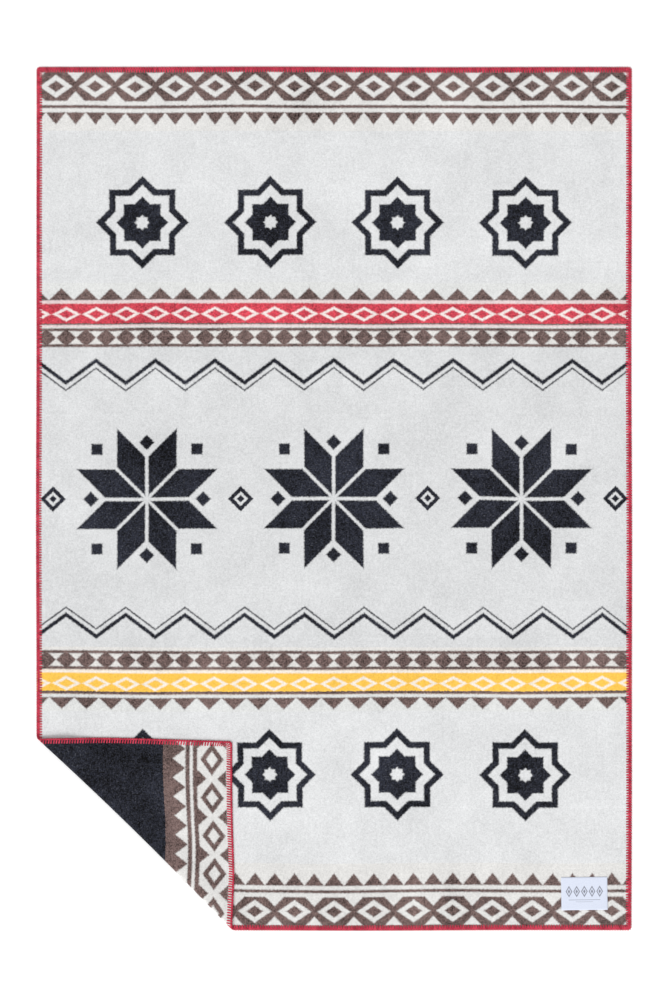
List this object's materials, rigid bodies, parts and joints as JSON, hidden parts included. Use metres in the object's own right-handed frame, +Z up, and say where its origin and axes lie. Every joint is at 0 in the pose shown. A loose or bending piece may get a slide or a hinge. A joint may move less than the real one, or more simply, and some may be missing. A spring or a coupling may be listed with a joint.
{
  "type": "folded wool blanket",
  "caption": "Large rectangular wool blanket lying flat with a folded-over corner, thick yarn-stitched edges and a small sewn label.",
  "frame": {"origin": "on the surface that the blanket lies on, under the middle of its outline", "axes": "+X across the blanket's width, +Y along its length away from the folded corner, +Z up through its face"},
  "size_m": [1.4016, 2.0317, 0.0145],
  "materials": {
    "blanket_wool": "brushed double-faced wool, pale grey face and near-black reverse, patterned in bands",
    "edging_yarn": "thick red wool yarn, stitched over the edge",
    "label_ribbon": "smooth white woven ribbon, without words"
  },
  "bodies": {
    "root": {"blanket": "blanket_wool", "edging": "edging_yarn", "label": "label_ribbon"}
  },
  "joints": []
}
